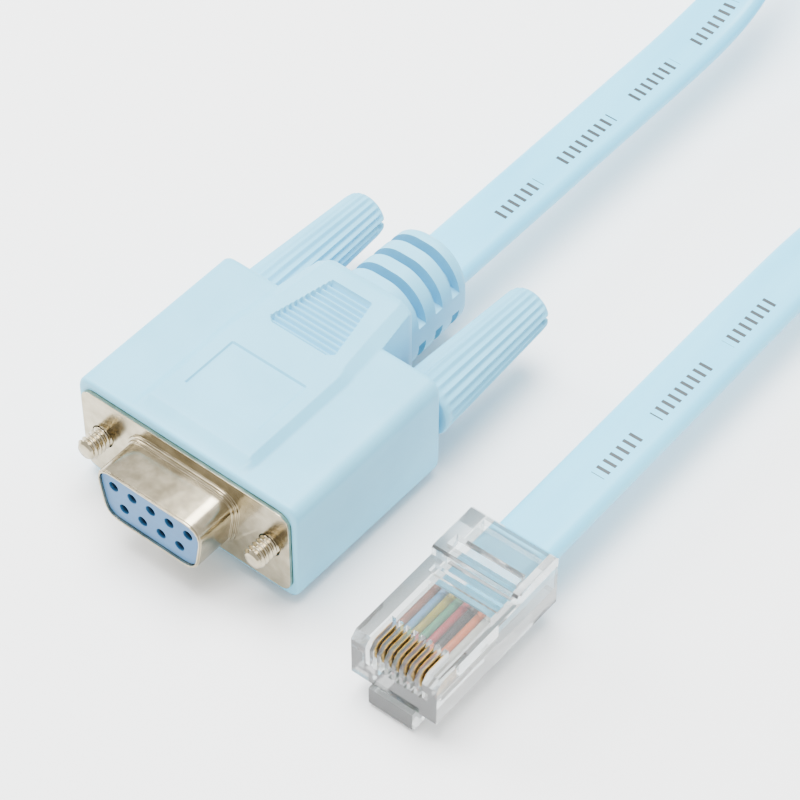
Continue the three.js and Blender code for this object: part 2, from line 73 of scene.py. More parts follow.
makeCamera(camera)
print("camera placed")


# A grid of points (rows, columns, 3) in millimetres becomes a closed skin of quads. Columns join round.
# A loop joins its last row to its first, and any other skin is closed by a fan to the mean of each end
# row. The sign of its volume turns the faces outwards.
def skinPiece(name, grid, uv=None, sharpAngle=38, loop=False):
    rows, cols = grid.shape[:2]
    points = np.concatenate([grid.reshape(-1, 3), grid[[0, -1]].mean(1)])
    i = np.arange(rows if loop else rows - 1)[:, None]
    j = np.arange(cols)[None, :]
    k = (j + 1) % cols
    here, there = i * cols, (i + 1) % rows * cols
    quads = np.stack([here + j, here + k, there + k, there + j], -1).reshape(-1, 4)
    first, last = rows * cols, rows * cols + 1
    j, k = j[0], k[0]
    base = (rows - 1) * cols
    ends = np.concatenate([
        np.stack([k, j, np.full(cols, first)], -1),
        np.stack([base + j, base + k, np.full(cols, last)], -1),
    ])
    if loop:
        ends = ends[:0]
        points = points[:-2]
    tris = np.concatenate([quads[:, :3], quads[:, [0, 2, 3]], ends])
    a, b, c = points[tris[:, 0]], points[tris[:, 1]], points[tris[:, 2]]
    flip = np.einsum("ij,ij->", a - points[0], np.cross(b - points[0], c - points[0])) < 0
    if flip:
        quads, ends = quads[:, ::-1], ends[:, ::-1]
    mesh = bpy.data.meshes.new(name)
    mesh.from_pydata((points * mm).tolist(), [], quads.tolist() + ends.tolist())
    if uv is not None:
        # One more column of map positions than of points keeps the seam whole.
        row = np.repeat(np.arange(rows - 1), cols)
        col = np.tile(np.arange(cols), rows - 1)
        n = cols + 1
        corner = np.stack([
            row * n + col, row * n + col + 1, (row + 1) * n + col + 1, (row + 1) * n + col,
        ], -1)
        if flip:
            corner = corner[:, ::-1]
        flat = np.concatenate([uv.reshape(-1, 2)[corner.ravel()], np.zeros((ends.size, 2))])
        layer = mesh.uv_layers.new(name="surface")
        layer.data.foreach_set("uv", flat.ravel().astype(np.float32))
    mesh.polygons.foreach_set("use_smooth", np.ones(len(mesh.polygons), dtype=bool))
    mesh.set_sharp_from_angle(angle=math.radians(sharpAngle))
    piece = bpy.data.objects.new(name, mesh)
    bpy.context.scene.collection.objects.link(piece)
    return piece


# One material, the body that a piece rides on, and the solids that it stands for, which are hidden. The
# slot name is not used.
def dress(piece, material, body, slotName, *replaced):
    piece.data.materials.clear()
    piece.data.materials.append(material)
    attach(piece, body)
    if replaced:
        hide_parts(*replaced)
    return piece


# A smooth change from a to b as s runs from s0 to s1: a cubic that is level at both ends.
def ease(s, s0, s1, a, b):
    t = np.clip((s - s0) / (s1 - s0), 0, 1)
    return a + (b - a) * t * t * (3 - 2 * t)


# A running mean along the rows, twice over, with the ends held.
def smoothRows(rows, reach):
    kernel = np.ones(2 * reach + 1) / (2 * reach + 1)
    kernel = np.convolve(kernel, kernel)
    pad = len(kernel) // 2
    padded = np.concatenate([
        2 * rows[:1] - rows[pad:0:-1],
        rows,
        2 * rows[-1:] - rows[-2:-pad - 2:-1],
    ])
    return np.stack([np.convolve(padded[:, c], kernel, "valid") for c in range(rows.shape[1])], -1)


# A hex colour from a screen, turned from sRGB to linear light.
def hexColour(text):
    value = np.array([int(text[i:i + 2], 16) for i in (1, 3, 5)]) / 255
    linear = np.where(value <= 0.04045, value / 12.92, ((value + 0.055) / 1.055) ** 2.4)
    return (*linear.tolist(), 1.0)


# Adds a node, sets its sockets or properties, and links other nodes' outputs into it.
def addNode(tree, kind, settings=None, links=None):
    node = tree.nodes.new(kind)
    for key, value in (settings or {}).items():
        if isinstance(key, int) or key in node.inputs:
            node.inputs[key].default_value = value
        else:
            setattr(node, key, value)
    for key, (source, output) in (links or {}).items():
        tree.links.new(source.outputs[output], node.inputs[key])
    return node


# An empty material with one shader on its output.
def startMaterial(name, settings):
    material = bpy.data.materials.new(name)
    material.use_nodes = True
    tree = material.node_tree
    tree.nodes.clear()
    shader = addNode(tree, "ShaderNodeBsdfPrincipled", settings)
    addNode(tree, "ShaderNodeOutputMaterial", None, {"Surface": (shader, 0)})
    return material, tree, shader


# Colours and grain sizes of the finishes.
finishes = dict(
    hoodColour="#72C4E1",
    hoodShade="#6ABCDA",
    cableColour="#6AD0F2",
    cableShade="#60C7EB",
    inkColour="#30393D",
    nickelColour="#BAB098",
    nickelShade="#9C927A",
    insulatorColour="#33709F",
    goldColour="#C79A3C",
    clearColour="#E9ECEB",
    wireColours=(
        "#9A4F35", "#5FA3D3", "#B9AA1E", "#3FA277", "#C4323F", "#1F2628", "#F0742E", "#E2E2DC",
    ),
    sparkGrain=0.25,  # the tool's spark-eroded grain is about 0.05, drawn coarser so that it shows
    dieLine=0.45,
)


# Moulded soft PVC: satin, faintly mottled, with the fine grain of a spark-eroded tool.
def mouldedPvc(v):
    material, tree, shader = startMaterial("satinMouldedPvc", {
        "IOR": 1.53, "Subsurface Weight": 0.06,
        "Subsurface Radius": (0.6, 0.8, 1.0), "Subsurface Scale": 0.0006,
    })
    place = addNode(tree, "ShaderNodeTexCoord")
    mottle = addNode(tree, "ShaderNodeTexNoise", {"Scale": 1000 / 9, "Detail": 3.0}, {
        "Vector": (place, "Object"),
    })
    colour = addNode(tree, "ShaderNodeValToRGB", None, {"Fac": (mottle, 0)})
    colour.color_ramp.elements[0].position = 0.35
    colour.color_ramp.elements[0].color = hexColour(v["hoodShade"])
    colour.color_ramp.elements[1].position = 0.65
    colour.color_ramp.elements[1].color = hexColour(v["hoodColour"])
    grain = addNode(
        tree, "ShaderNodeTexNoise", {"Scale": 1000 / v["sparkGrain"], "Detail": 2.0},
        {"Vector": (place, "Object")},
    )
    rough = addNode(tree, "ShaderNodeMapRange", {"To Min": 0.42, "To Max": 0.54}, {"Value": (grain, 0)})
    bump = addNode(tree, "ShaderNodeBump", {"Strength": 0.25, "Distance": 0.00003}, {"Height": (grain, 0)})
    tree.links.new(colour.outputs["Color"], shader.inputs["Base Color"])
    tree.links.new(rough.outputs[0], shader.inputs["Roughness"])
    tree.links.new(bump.outputs[0], shader.inputs["Normal"])
    return material


# Extruded PVC jacket: smoother than the mouldings, with faint die lines that run along it, and ink marks.
def extrudedJacket(v, marks):
    material, tree, shader = startMaterial("extrudedPvcJacket", {
        "IOR": 1.53, "Subsurface Weight": 0.05,
        "Subsurface Radius": (0.6, 0.8, 1.0), "Subsurface Scale": 0.0005,
    })
    surface = addNode(tree, "ShaderNodeUVMap", {"uv_map": "surface"})
    lines = addNode(tree, "ShaderNodeMapping", {"Scale": (12.0, 1000 / v["dieLine"], 1.0)}, {
        "Vector": (surface, 0),
    })
    streak = addNode(tree, "ShaderNodeTexNoise", {"Scale": 1.0, "Detail": 2.0}, {"Vector": (lines, 0)})
    cloud = addNode(tree, "ShaderNodeMapping", {"Scale": (40.0, 220.0, 1.0)}, {"Vector": (surface, 0)})
    tint = addNode(tree, "ShaderNodeTexNoise", {"Scale": 1.0, "Detail": 2.0}, {"Vector": (cloud, 0)})
    colour = addNode(tree, "ShaderNodeValToRGB", None, {"Fac": (tint, 0)})
    colour.color_ramp.elements[0].position = 0.35
    colour.color_ramp.elements[0].color = hexColour(v["cableShade"])
    colour.color_ramp.elements[1].position = 0.65
    colour.color_ramp.elements[1].color = hexColour(v["cableColour"])
    parts = addNode(tree, "ShaderNodeSeparateXYZ", None, {0: (surface, 0)})
    ink = inkMarks(tree, parts, marks)
    base = addNode(tree, "ShaderNodeMix", {"data_type": "RGBA", 7: hexColour(v["inkColour"])}, {
        0: (ink, 0), 6: (colour, "Color"),
    })
    rough = addNode(tree, "ShaderNodeMapRange", {"To Min": 0.3, "To Max": 0.42}, {"Value": (streak, 0)})
    bump = addNode(tree, "ShaderNodeBump", {"Strength": 0.3, "Distance": 0.00002}, {"Height": (streak, 0)})
    tree.links.new(base.outputs[2], shader.inputs["Base Color"])
    tree.links.new(rough.outputs[0], shader.inputs["Roughness"])
    tree.links.new(bump.outputs[0], shader.inputs["Normal"])
    return material


# Plain index ticks: short strokes in groups, on one face of each run. A group is a window along the cable
# times a window across it times a square wave of the strokes.
def inkMarks(tree, parts, marks):
    total = None
    for group in marks:
        middle, half = group["middle"] * mm, group["half"] * mm
        along = addNode(tree, "ShaderNodeMath", {"operation": "COMPARE", 1: middle, 2: half}, {
            0: (parts, "X"),
        })
        across = addNode(tree, "ShaderNodeMath", {
            "operation": "COMPARE", 1: group["across"] * mm, 2: group["tall"] / 2 * mm,
        }, {0: (parts, "Y")})
        # Strokes are counted from the group's start: (x - start) / pitch.
        beat = addNode(tree, "ShaderNodeMath", {
            "operation": "MULTIPLY_ADD",
            1: 1 / (group["pitch"] * mm),
            2: (half - middle) / (group["pitch"] * mm),
        }, {0: (parts, "X")})
        part = addNode(tree, "ShaderNodeMath", {"operation": "FRACT"}, {0: (beat, 0)})
        stroke = addNode(tree, "ShaderNodeMath", {"operation": "LESS_THAN", 1: group["stroke"]}, {
            0: (part, 0),
        })
        window = addNode(tree, "ShaderNodeMath", {"operation": "MULTIPLY"}, {0: (along, 0), 1: (across, 0)})
        here = addNode(tree, "ShaderNodeMath", {"operation": "MULTIPLY"}, {0: (window, 0), 1: (stroke, 0)})
        if total is not None:
            here = addNode(tree, "ShaderNodeMath", {"operation": "MAXIMUM"}, {0: (total, 0), 1: (here, 0)})
        total = here
    return total


# Nickel over pressed steel: bright, warm grey, with soft waves from drawing and a little haze.
def nickelPlate(v):
    material, tree, shader = startMaterial("nickelPlatedSteel", {"Metallic": 1.0})
    place = addNode(tree, "ShaderNodeTexCoord")
    haze = addNode(tree, "ShaderNodeTexNoise", {"Scale": 1000 / 1.6, "Detail": 4.0}, {
        "Vector": (place, "Object"),
    })
    colour = addNode(tree, "ShaderNodeValToRGB", None, {"Fac": (haze, 0)})
    colour.color_ramp.elements[0].position = 0.3
    colour.color_ramp.elements[0].color = hexColour(v["nickelShade"])
    colour.color_ramp.elements[1].position = 0.7
    colour.color_ramp.elements[1].color = hexColour(v["nickelColour"])
    rough = addNode(tree, "ShaderNodeMapRange", {"To Min": 0.14, "To Max": 0.24}, {"Value": (haze, 0)})
    wave = addNode(tree, "ShaderNodeTexNoise", {"Scale": 1000 / 3.5, "Detail": 1.0}, {
        "Vector": (place, "Object"),
    })
    bump = addNode(tree, "ShaderNodeBump", {"Strength": 0.2, "Distance": 0.00006}, {"Height": (wave, 0)})
    tree.links.new(colour.outputs["Color"], shader.inputs["Base Color"])
    tree.links.new(rough.outputs[0], shader.inputs["Roughness"])
    tree.links.new(bump.outputs[0], shader.inputs["Normal"])
    return material


# Gold flash on phosphor bronze: deep yellow, slightly worn to a browner tone.
def goldFlash(v):
    material, tree, shader = startMaterial("goldFlashedBronze", {"Metallic": 1.0})
    place = addNode(tree, "ShaderNodeTexCoord")
    worn = addNode(tree, "ShaderNodeTexNoise", {"Scale": 1000 / 0.8, "Detail": 3.0}, {
        "Vector": (place, "Object"),
    })
    colour = addNode(tree, "ShaderNodeValToRGB", None, {"Fac": (worn, 0)})
    colour.color_ramp.elements[0].position = 0.35
    colour.color_ramp.elements[0].color = hexColour("#9C7A34")
    colour.color_ramp.elements[1].position = 0.7
    colour.color_ramp.elements[1].color = hexColour(v["goldColour"])
    rough = addNode(tree, "ShaderNodeMapRange", {"To Min": 0.2, "To Max": 0.36}, {"Value": (worn, 0)})
    tree.links.new(colour.outputs["Color"], shader.inputs["Base Color"])
    tree.links.new(rough.outputs[0], shader.inputs["Roughness"])
    return material


# Glass-filled polyester of the insulator: semi-matt, with short flow streaks.
def filledPolyester(v):
    material, tree, shader = startMaterial("glassFilledPolyester", {"IOR": 1.56})
    place = addNode(tree, "ShaderNodeTexCoord")
    stretch = addNode(tree, "ShaderNodeMapping", {"Scale": (400.0, 1600.0, 1600.0)}, {
        "Vector": (place, "Object"),
    })
    flow = addNode(tree, "ShaderNodeTexNoise", {"Scale": 1.0, "Detail": 3.0}, {"Vector": (stretch, 0)})
    colour = addNode(tree, "ShaderNodeValToRGB", None, {"Fac": (flow, 0)})
    colour.color_ramp.elements[0].position = 0.3
    colour.color_ramp.elements[0].color = hexColour("#2C6796")
    colour.color_ramp.elements[1].position = 0.7
    colour.color_ramp.elements[1].color = hexColour(v["insulatorColour"])
    rough = addNode(tree, "ShaderNodeMapRange", {"To Min": 0.42, "To Max": 0.55}, {"Value": (flow, 0)})
    bump = addNode(tree, "ShaderNodeBump", {"Strength": 0.2, "Distance": 0.00002}, {"Height": (flow, 0)})
    # The bores are drawn darker from just behind the front face, because they lie in shade.
    axes = addNode(tree, "ShaderNodeSeparateXYZ", None, {0: (place, "Object")})
    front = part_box("socket_insulator")[0].y
    inside = addNode(tree, "ShaderNodeMapRange", {
        "From Min": front + 0.1 * mm, "From Max": front + 0.5 * mm, "To Min": 0.0, "To Max": 0.85,
    }, {"Value": (axes, "Y")})
    colour = addNode(tree, "ShaderNodeMix", {"data_type": "RGBA", 7: hexColour("#15222C")}, {
        0: (inside, 0), 6: (colour, "Color"),
    })
    tree.links.new(colour.outputs[2], shader.inputs["Base Color"])
    tree.links.new(rough.outputs[0], shader.inputs["Roughness"])
    tree.links.new(bump.outputs[0], shader.inputs["Normal"])
    return material


# Clear polycarbonate: high index, polished, with slight flow waves from moulding.
def clearPolycarbonate(v):
    material, tree, shader = startMaterial("clearPolycarbonate", {
        "Base Color": hexColour(v["clearColour"]), "IOR": 1.585, "Transmission Weight": 0.96,
    })
    place = addNode(tree, "ShaderNodeTexCoord")
    flow = addNode(tree, "ShaderNodeTexNoise", {"Scale": 1000 / 2.5, "Detail": 2.0}, {
        "Vector": (place, "Object"),
    })
    rough = addNode(tree, "ShaderNodeMapRange", {"To Min": 0.02, "To Max": 0.07}, {"Value": (flow, 0)})
    bump = addNode(tree, "ShaderNodeBump", {"Strength": 0.3, "Distance": 0.00004}, {"Height": (flow, 0)})
    tree.links.new(rough.outputs[0], shader.inputs["Roughness"])
    tree.links.new(bump.outputs[0], shader.inputs["Normal"])
    return material


# Natural white nylon of the strap: satin, with fine ribs across it that grip.
def mouldedNylon():
    material, tree, shader = startMaterial("satinMouldedNylon", {
        "IOR": 1.53, "Subsurface Weight": 0.1,
        "Subsurface Radius": (1.0, 1.0, 1.0), "Subsurface Scale": 0.0006,
    })
    place = addNode(tree, "ShaderNodeTexCoord")
    stretch = addNode(tree, "ShaderNodeMapping", {"Scale": (90.0, 1600.0, 90.0)}, {
        "Vector": (place, "Object"),
    })
    rib = addNode(tree, "ShaderNodeTexNoise", {"Scale": 1.0, "Detail": 2.0}, {"Vector": (stretch, 0)})
    colour = addNode(tree, "ShaderNodeValToRGB", None, {"Fac": (rib, 0)})
    colour.color_ramp.elements[0].color = hexColour("#D9DEDF")
    colour.color_ramp.elements[1].color = hexColour("#F1F3F3")
    rough = addNode(tree, "ShaderNodeMapRange", {"To Min": 0.38, "To Max": 0.5}, {"Value": (rib, 0)})
    bump = addNode(tree, "ShaderNodeBump", {"Strength": 0.4, "Distance": 0.00004}, {"Height": (rib, 0)})
    tree.links.new(colour.outputs["Color"], shader.inputs["Base Color"])
    tree.links.new(rough.outputs[0], shader.inputs["Roughness"])
    tree.links.new(bump.outputs[0], shader.inputs["Normal"])
    return material


# Extruded insulation on one conductor: glossy, slightly streaked along the wire.
def wireInsulation(name, colourText):
    material, tree, shader = startMaterial(name, {"IOR": 1.5})
    place = addNode(tree, "ShaderNodeTexCoord")
    stretch = addNode(tree, "ShaderNodeMapping", {"Scale": (2500.0, 300.0, 2500.0)}, {
        "Vector": (place, "Object"),
    })
    streak = addNode(tree, "ShaderNodeTexNoise", {"Scale": 1.0, "Detail": 2.0}, {"Vector": (stretch, 0)})
    colour = addNode(tree, "ShaderNodeValToRGB", None, {"Fac": (streak, 0)})
    full = hexColour(colourText)
    colour.color_ramp.elements[0].position = 0.3
    colour.color_ramp.elements[0].color = (*[c * 0.85 for c in full[:3]], 1)
    colour.color_ramp.elements[1].position = 0.7
    colour.color_ramp.elements[1].color = full
    rough = addNode(tree, "ShaderNodeMapRange", {"To Min": 0.25, "To Max": 0.4}, {"Value": (streak, 0)})
    tree.links.new(colour.outputs["Color"], shader.inputs["Base Color"])
    tree.links.new(rough.outputs[0], shader.inputs["Roughness"])
    return material


# The flat cable, sizes in millimetres and angles in degrees.
cable = dict(
    width=8.0,
    thickness=2.5,
    length=1500.0,
    start=(0.0, 23.55, 8.4),  # outside the boot
    intoBoot=1.6,
    coilLeft=-16.4,
    coilNear=133.6,  # the near centre of the oval
    coilStraight=30.0,
    coilInner=29.0,
    coilPitch=2.95,
    coilTurns=4.78,
    swapRoom=0.35,
    leadRadius=50.0,
    lower=4.05,
    upper=12.15,
    tieAt=0.6,
    tieLift=0.3,
    plugNose=(33.9, -24.95, 3.2),
    plugTurn=1.0,
    plugRear=21.8,  # where the run leaves the plug, from its nose
    jacketStart=11.8,
    jacketZ=3.6,
    step=1.6,
)
cable["outerLane"] = cable["coilInner"] + cable["coilPitch"] * (cable["coilTurns"] / 2 + cable["swapRoom"])
cable["coilX"] = cable["coilLeft"] + cable["outerLane"] + cable["thickness"] / 2 + 0.1


# Straights and arcs one after another in plan. On a leg of length L that turns by b, a point at s lies at
# r (sin(h + s/r) - sin h), -r (cos(h + s/r) - cos h) from the leg's start, with r = L / b.
def planRoute(start, heading, legs, step):
    x, y = start
    h = math.radians(heading)
    parts = [np.array([[x, y]])]
    for length, turn in legs:
        s = np.linspace(0, length, max(3, round(length / step)) + 1)[1:]
        if turn:
            r = length / math.radians(turn)
            turned = h + s / r
            plan = np.stack([
                x + r * (np.sin(turned) - math.sin(h)), y - r * (np.cos(turned) - math.cos(h)),
            ], -1)
            h += math.radians(turn)
        else:
            plan = np.stack([x + s * math.cos(h), y + s * math.sin(h)], -1)
        x, y = plan[-1]
        parts.append(plan)
    return np.concatenate(parts)


# Length run along the points, from 0 at the first.
def runLength(points):
    return np.concatenate([[0], np.cumsum(np.linalg.norm(np.diff(points, axis=0), axis=1))])


# The oval coil, clockwise from the turn angle a0 to a1. In a half turn the point runs round a centre, near
# or far, and between half turns along a straight. At u turns from the middle the lane is at
# inner + pitch (|u| + room), and the height changes from the upper layer to the lower one there.
def coilLanes(v, a0, a1):
    cx, near, straight = v["coilX"], v["coilNear"], v["coilStraight"]
    middle = v["coilInner"] + v["coilPitch"] * 1.5
    angles, centres = [], []
    a = a0
    while a > a1 + 1e-6:
        stop = max(a1, math.pi * math.floor(a / math.pi - 1e-9))
        arc = np.linspace(a, stop, max(2, round((a - stop) * middle / v["step"])))
        far = math.sin((a + stop) / 2) > 0
        angles.append(arc)
        centres.append(np.full(len(arc), near + straight * far))
        if stop > a1 + 1e-6:
            run = np.linspace(0, 1, round(straight / v["step"]))[1:-1]
            angles.append(np.full(len(run), stop))
            centres.append(near + straight * (1 - run if far else run))
        a = stop
    angles, centres = np.concatenate(angles), np.concatenate(centres)
    track = np.abs(np.diff(angles)) * middle + np.abs(np.diff(centres))
    u = np.concatenate([[0], np.cumsum(track)]) / (2 * straight + 2 * math.pi * middle)
    u -= u[-1] / 2
    r = v["coilInner"] + v["coilPitch"] * (np.abs(u) + v["swapRoom"] * ease(np.abs(u), 0.1, 0.4, 0, 1))
    z = ease(u, -0.3, 0.3, v["upper"], v["lower"])
    x, y = cx + r * np.cos(angles), centres + r * np.sin(angles)
    # The turns lie over the strap on the right side.
    off = np.abs(y - (near + straight * v["tieAt"]))
    z = z + v["tieLift"] * ease(off, 9, 3, 0, 1) * (x > cx)
    return np.column_stack([x, y, z, np.full(len(x), math.pi / 2)]), u


# The route as rows of (x, y, z, roll): straight out of the boot and onto the left of the coil, round it
# inwards on the upper layer and outwards on the lower one, and off its right to the plug. Roll is 0
# where the width lies level and 90 degrees where it stands.
def cableRoute(v):
    cx, near, bend, outer = v["coilX"], v["coilNear"], v["leadRadius"], v["outerLane"]
    clear = 10.7  # the bends touch the coil this much before they join it
    x0, y0, z0 = v["start"]
    lead = math.acos((cx + bend) / (bend + outer))
    straight = near - (outer + bend) * math.sin(lead) - y0
    legs = [(straight + v["intoBoot"], 0), (bend * lead, math.degrees(lead))]
    plan = planRoute((x0, y0 - v["intoBoot"]), 90, legs, v["step"])
    s = runLength(plan) - v["intoBoot"]
    end = s[-1] - clear
    z = ease(s, straight - 12, end - 1, z0, v["upper"])
    roll = ease(s, straight - 4, end - 1, 0, math.pi / 2)
    inward = np.column_stack([plan, z, roll])

    # From the plug back to the coil: the bend's centre is bend + outer from the coil's near centre.
    nx, ny, nz = v["plugNose"]
    d = math.radians(90 + v["plugTurn"])
    ahead, side = np.array([math.cos(d), math.sin(d)]), np.array([math.sin(d), -math.cos(d)])
    rear = np.array([nx, ny]) + v["plugRear"] * ahead
    offset = rear + bend * side - np.array([cx, near])
    along = float(offset @ ahead)
    away = -along - math.sqrt((bend + outer) ** 2 - float(offset @ offset) + along ** 2)
    centre = offset + away * ahead
    join = math.atan2(centre[1], centre[0])
    turn = d - (join + math.pi / 2)
    inside = v["plugRear"] - v["jacketStart"]
    legs = [(inside + away, 0), (turn * bend, -math.degrees(turn))]
    back = planRoute(tuple(rear - inside * ahead), 90 + v["plugTurn"], legs, v["step"])
    s = runLength(back) - inside
    end = s[-1] - clear
    z = ease(s, 50, end - 8, nz + v["jacketZ"], v["lower"])
    roll = math.pi - ease(s, 58, end - 4, 0, math.pi / 2)
    outward = np.column_stack([back, z, roll])[::-1]

    turns, u = coilLanes(v, math.pi + lead, join - 8 * math.pi)
    print("coil of %.2f turns" % (u[-1] - u[0]))
    whole = np.concatenate([inward, turns[1:-1], outward])
    s = runLength(whole[:, :3])
    even = np.linspace(0, s[-1], round(s[-1] / v["step"]) + 1)
    whole = np.stack([np.interp(even, s, whole[:, c]) for c in range(4)], -1)
    return smoothRows(whole, 2), even


# A flat section with round edges carried along the route. At each point the width lies along
# level x cos(roll) + up x sin(roll), and the thickness along the tangent crossed with that.
def makeCable(v):
    route, s = cableRoute(v)
    points, roll = route[:, :3], route[:, 3:]
    tangent = np.gradient(points, axis=0)
    tangent /= np.linalg.norm(tangent, axis=1, keepdims=True)
    level = np.cross(tangent, [0.0, 0.0, 1.0])
    level /= np.linalg.norm(level, axis=1, keepdims=True)
    up = np.cross(level, tangent)
    wide = level * np.cos(roll) + up * np.sin(roll)
    thick = np.cross(tangent, wide)
    r = v["thickness"] / 2
    flat = v["width"] / 2 - r
    bend = np.radians(np.linspace(-90, 90, 9))
    across = np.linspace(-flat, flat, 7)[1:-1]
    px = np.concatenate([flat + r * np.cos(bend), across[::-1], -flat - r * np.cos(bend), across])
    py = np.concatenate([r * np.sin(bend), np.full(5, r), -r * np.sin(bend), np.full(5, -r)])
    grid = points[:, None] + wide[:, None] * px[None, :, None] + thick[:, None] * py[None, :, None]
    ring = np.column_stack([px, py, 0 * px])
    around = runLength(np.concatenate([ring, ring[:1]]))
    uv = np.stack(np.broadcast_arrays(s[:, None], around[None, :]), -1) * mm
    print("cable length %.1f mm, %d stations" % (s[-1], len(s)))
    return skinPiece("flatCable", grid, uv), points, s[-1]


pvc = mouldedPvc(finishes)
nickel = nickelPlate(finishes)
gold = goldFlash(finishes)
clear = clearPolycarbonate(finishes)
polyester = filledPolyester(finishes)

flatCable, cablePoints, cableLength = makeCable(cable)
# One face's middle is 6.7 mm round the section from its seam, and the other's 16.1 mm. The ticks lie
# 1 mm off the middle of the upper face at each end, so they change face with the cable's half twist.
tick = dict(tall=1.8, pitch=1.25, stroke=0.38)
inkGroups = [
    dict(tick, middle=middle, half=half, across=17.1)
    for middle, half in ((16.8, 3.8), (30.3, 5.1), (44.3, 4.4), (57.5, 4.4))
]
inkGroups += [
    dict(tick, middle=cableLength - back, half=half, across=5.7)
    for back, half in ((27.6, 3.8), (40.2, 5.1), (54.0, 4.4))
]
jacket = extrudedJacket(finishes, inkGroups)
dress(
    flatCable, jacket, "cable", "cable_jacket",
    "cable_run_connector_side", "cable_coil", "cable_run_plug_side", "cable_jacket_end",
)

# The strap round the coil.
strap = dict(width=5.0, thickness=0.28, height=16.74, corner=1.0)


# A rounded rectangle in XZ round the coil's right side, carried by a flat section with eased edges:
# the point at w across the strap and t through it is the loop's point pushed out by t.
def makeStrap(v, c):
    inner, outer = c["coilInner"] - 1.35, c["outerLane"] + 1.35
    half = (outer - inner) / 2 + 0.14
    middle = c["coilX"] + (inner + outer) / 2
    y = c["coilNear"] + c["coilStraight"] * c["tieAt"]
    r = v["corner"]
    a = np.radians(np.linspace([0, 90, 180, 270], [90, 180, 270, 360], 8, axis=1).ravel())
    out = np.stack([np.cos(a), np.sin(a)], -1)
    sign = np.repeat([[1, 1], [-1, 1], [-1, -1], [1, -1]], 8, axis=0)
    high = v["height"] / 2
    loop = np.stack([middle + sign[:, 0] * (half - r), high + sign[:, 1] * (high - r)], -1)
    w = np.array([-1, -0.96, -0.5, 0, 0.5, 0.96, 1, 0.96, 0.5, 0, -0.5, -0.96]) * v["width"] / 2
    t = np.array([0.5, 1, 1, 1, 1, 1, 0.5, 0, 0, 0, 0, 0]) * v["thickness"]
    reachOut = r - v["thickness"] + t
    x = loop[:, :1] + out[:, :1] * reachOut[None, :]
    z = loop[:, 1:] + out[:, 1:] * reachOut[None, :]
    grid = np.stack([x, np.broadcast_to(y + w, x.shape), z], -1)
    return skinPiece("coilStrap", grid, None, 50, True)


strapPiece = makeStrap(strap, cable)
dress(strapPiece, mouldedNylon(), "cable", "tie_strap", "coil_tie")

# The eight conductors in the plug, in the plug's own frame.
wires = dict(radius=0.46, z=2.9, start=1.7, end=11.9, pitch=1.02)


# Plug places to the part frame: turned about Z by the plug's turn and moved to its nose.
def fromPlug(points, v):
    a = math.radians(v["plugTurn"])
    x, y, z = points[..., 0], points[..., 1], points[..., 2]
    nx, ny, nz = v["plugNose"]
    return np.stack([
        nx + x * math.cos(a) - y * math.sin(a), ny + x * math.sin(a) + y * math.cos(a), nz + z,
    ], -1)


# A round section of radius r carried along a line, its ends rounded off.
def makeWire(i, v):
    x = (i - 3.5) * v["pitch"]
    y = np.array([v["start"], v["start"] + 0.02, v["start"] + 0.15, v["end"] - 0.1, v["end"]])
    r = v["radius"] * np.array([0.55, 0.85, 1.0, 1.0, 0.9])
    a = np.linspace(0, 2 * np.pi, 25)[:-1]
    grid = np.stack(np.broadcast_arrays(
        x + r[:, None] * np.cos(a), y[:, None], v["z"] + r[:, None] * np.sin(a)
    ), -1)
    return skinPiece("conductor%d" % (i + 1), fromPlug(grid, cable))


for i in range(8):
    wire = makeWire(i, wires)
    name = "wire%dInsulation" % (i + 1)
    insulation = wireInsulation(name, finishes["wireColours"][i])
    dress(wire, insulation, "cable", "wire_%d" % (i + 1), "wire_%d" % (i + 1))

print("flat cable, wires and plug placed")

# The connector's hood, measured from its front on its own axis.
hood = dict(
    origin=(0.0, -20.55, 8.4),
    halfWidth=16.2,
    halfHeight=7.5,
    front=0.5,
    length=25.6,
    # y, half width, half height, corner across, corner down, roundness of the corner
    spine=[
        (1.2, 8.45, 7.45, 0.3, 0.1, 0.0),
        (3.1, 8.5, 8.4, 1.1, 0.9, 0.0),
        (18.6, 8.5, 8.4, 1.2, 0.9, 0.0),
        (20.0, 8.25, 8.4, 1.5, 0.9, 0.0),
        (25.6, 7.75, 8.4, 1.75, 0.9, 0.0),
        (31.3, 6.8, 8.4, 1.35, 0.9, 0.0),
        (32.2, 6.5, 8.0, 1.6, 1.4, 0.6),
        (32.7, 5.6, 6.7, 4.6, 5.2, 1.0),
        (43.4, 5.5, 6.5, 4.9, 5.7, 1.0),
        (43.8, 5.1, 6.1, 4.6, 5.4, 1.0),
    ],
    label=(5.5, 6.8, 14.8, 0.25),  # half width, from, to, depth
    grip=(19.9, 29.3, 4.75, 2.9, 0.3),  # from, to, half widths, depth of the recess
    grooves=11,
    grooveDepth=0.55,
    slotFirst=34.6,
    slotPitch=3.15,
    slotWidth=1.35,
    slotCore=3.3,
    webHalf=1.75,
    fillet=0.22,
)


# How far a rectangle with cut or round corners reaches in the direction (c, s): to its side, its top, or
# its corner, where the reach is a mix of the straight cut's and the ellipse's.
def reach(c, s, w, h, rx, ry, roundness):
    side, top = w / c, h / s
    cx, cz = w - rx, h - ry
    cut = (1 + cx / rx + cz / ry) / (c / rx + s / ry)
    a = (c / rx) ** 2 + (s / ry) ** 2
    b = c * cx / rx ** 2 + s * cz / ry ** 2
    k = (cx / rx) ** 2 + (cz / ry) ** 2 - 1
    arc = (b + np.sqrt(np.maximum(b * b - a * k, 0))) / a
    corner = cut + (arc - cut) * roundness
    return np.where(side * s <= cz, side, np.where(top * c <= cx, top, corner))


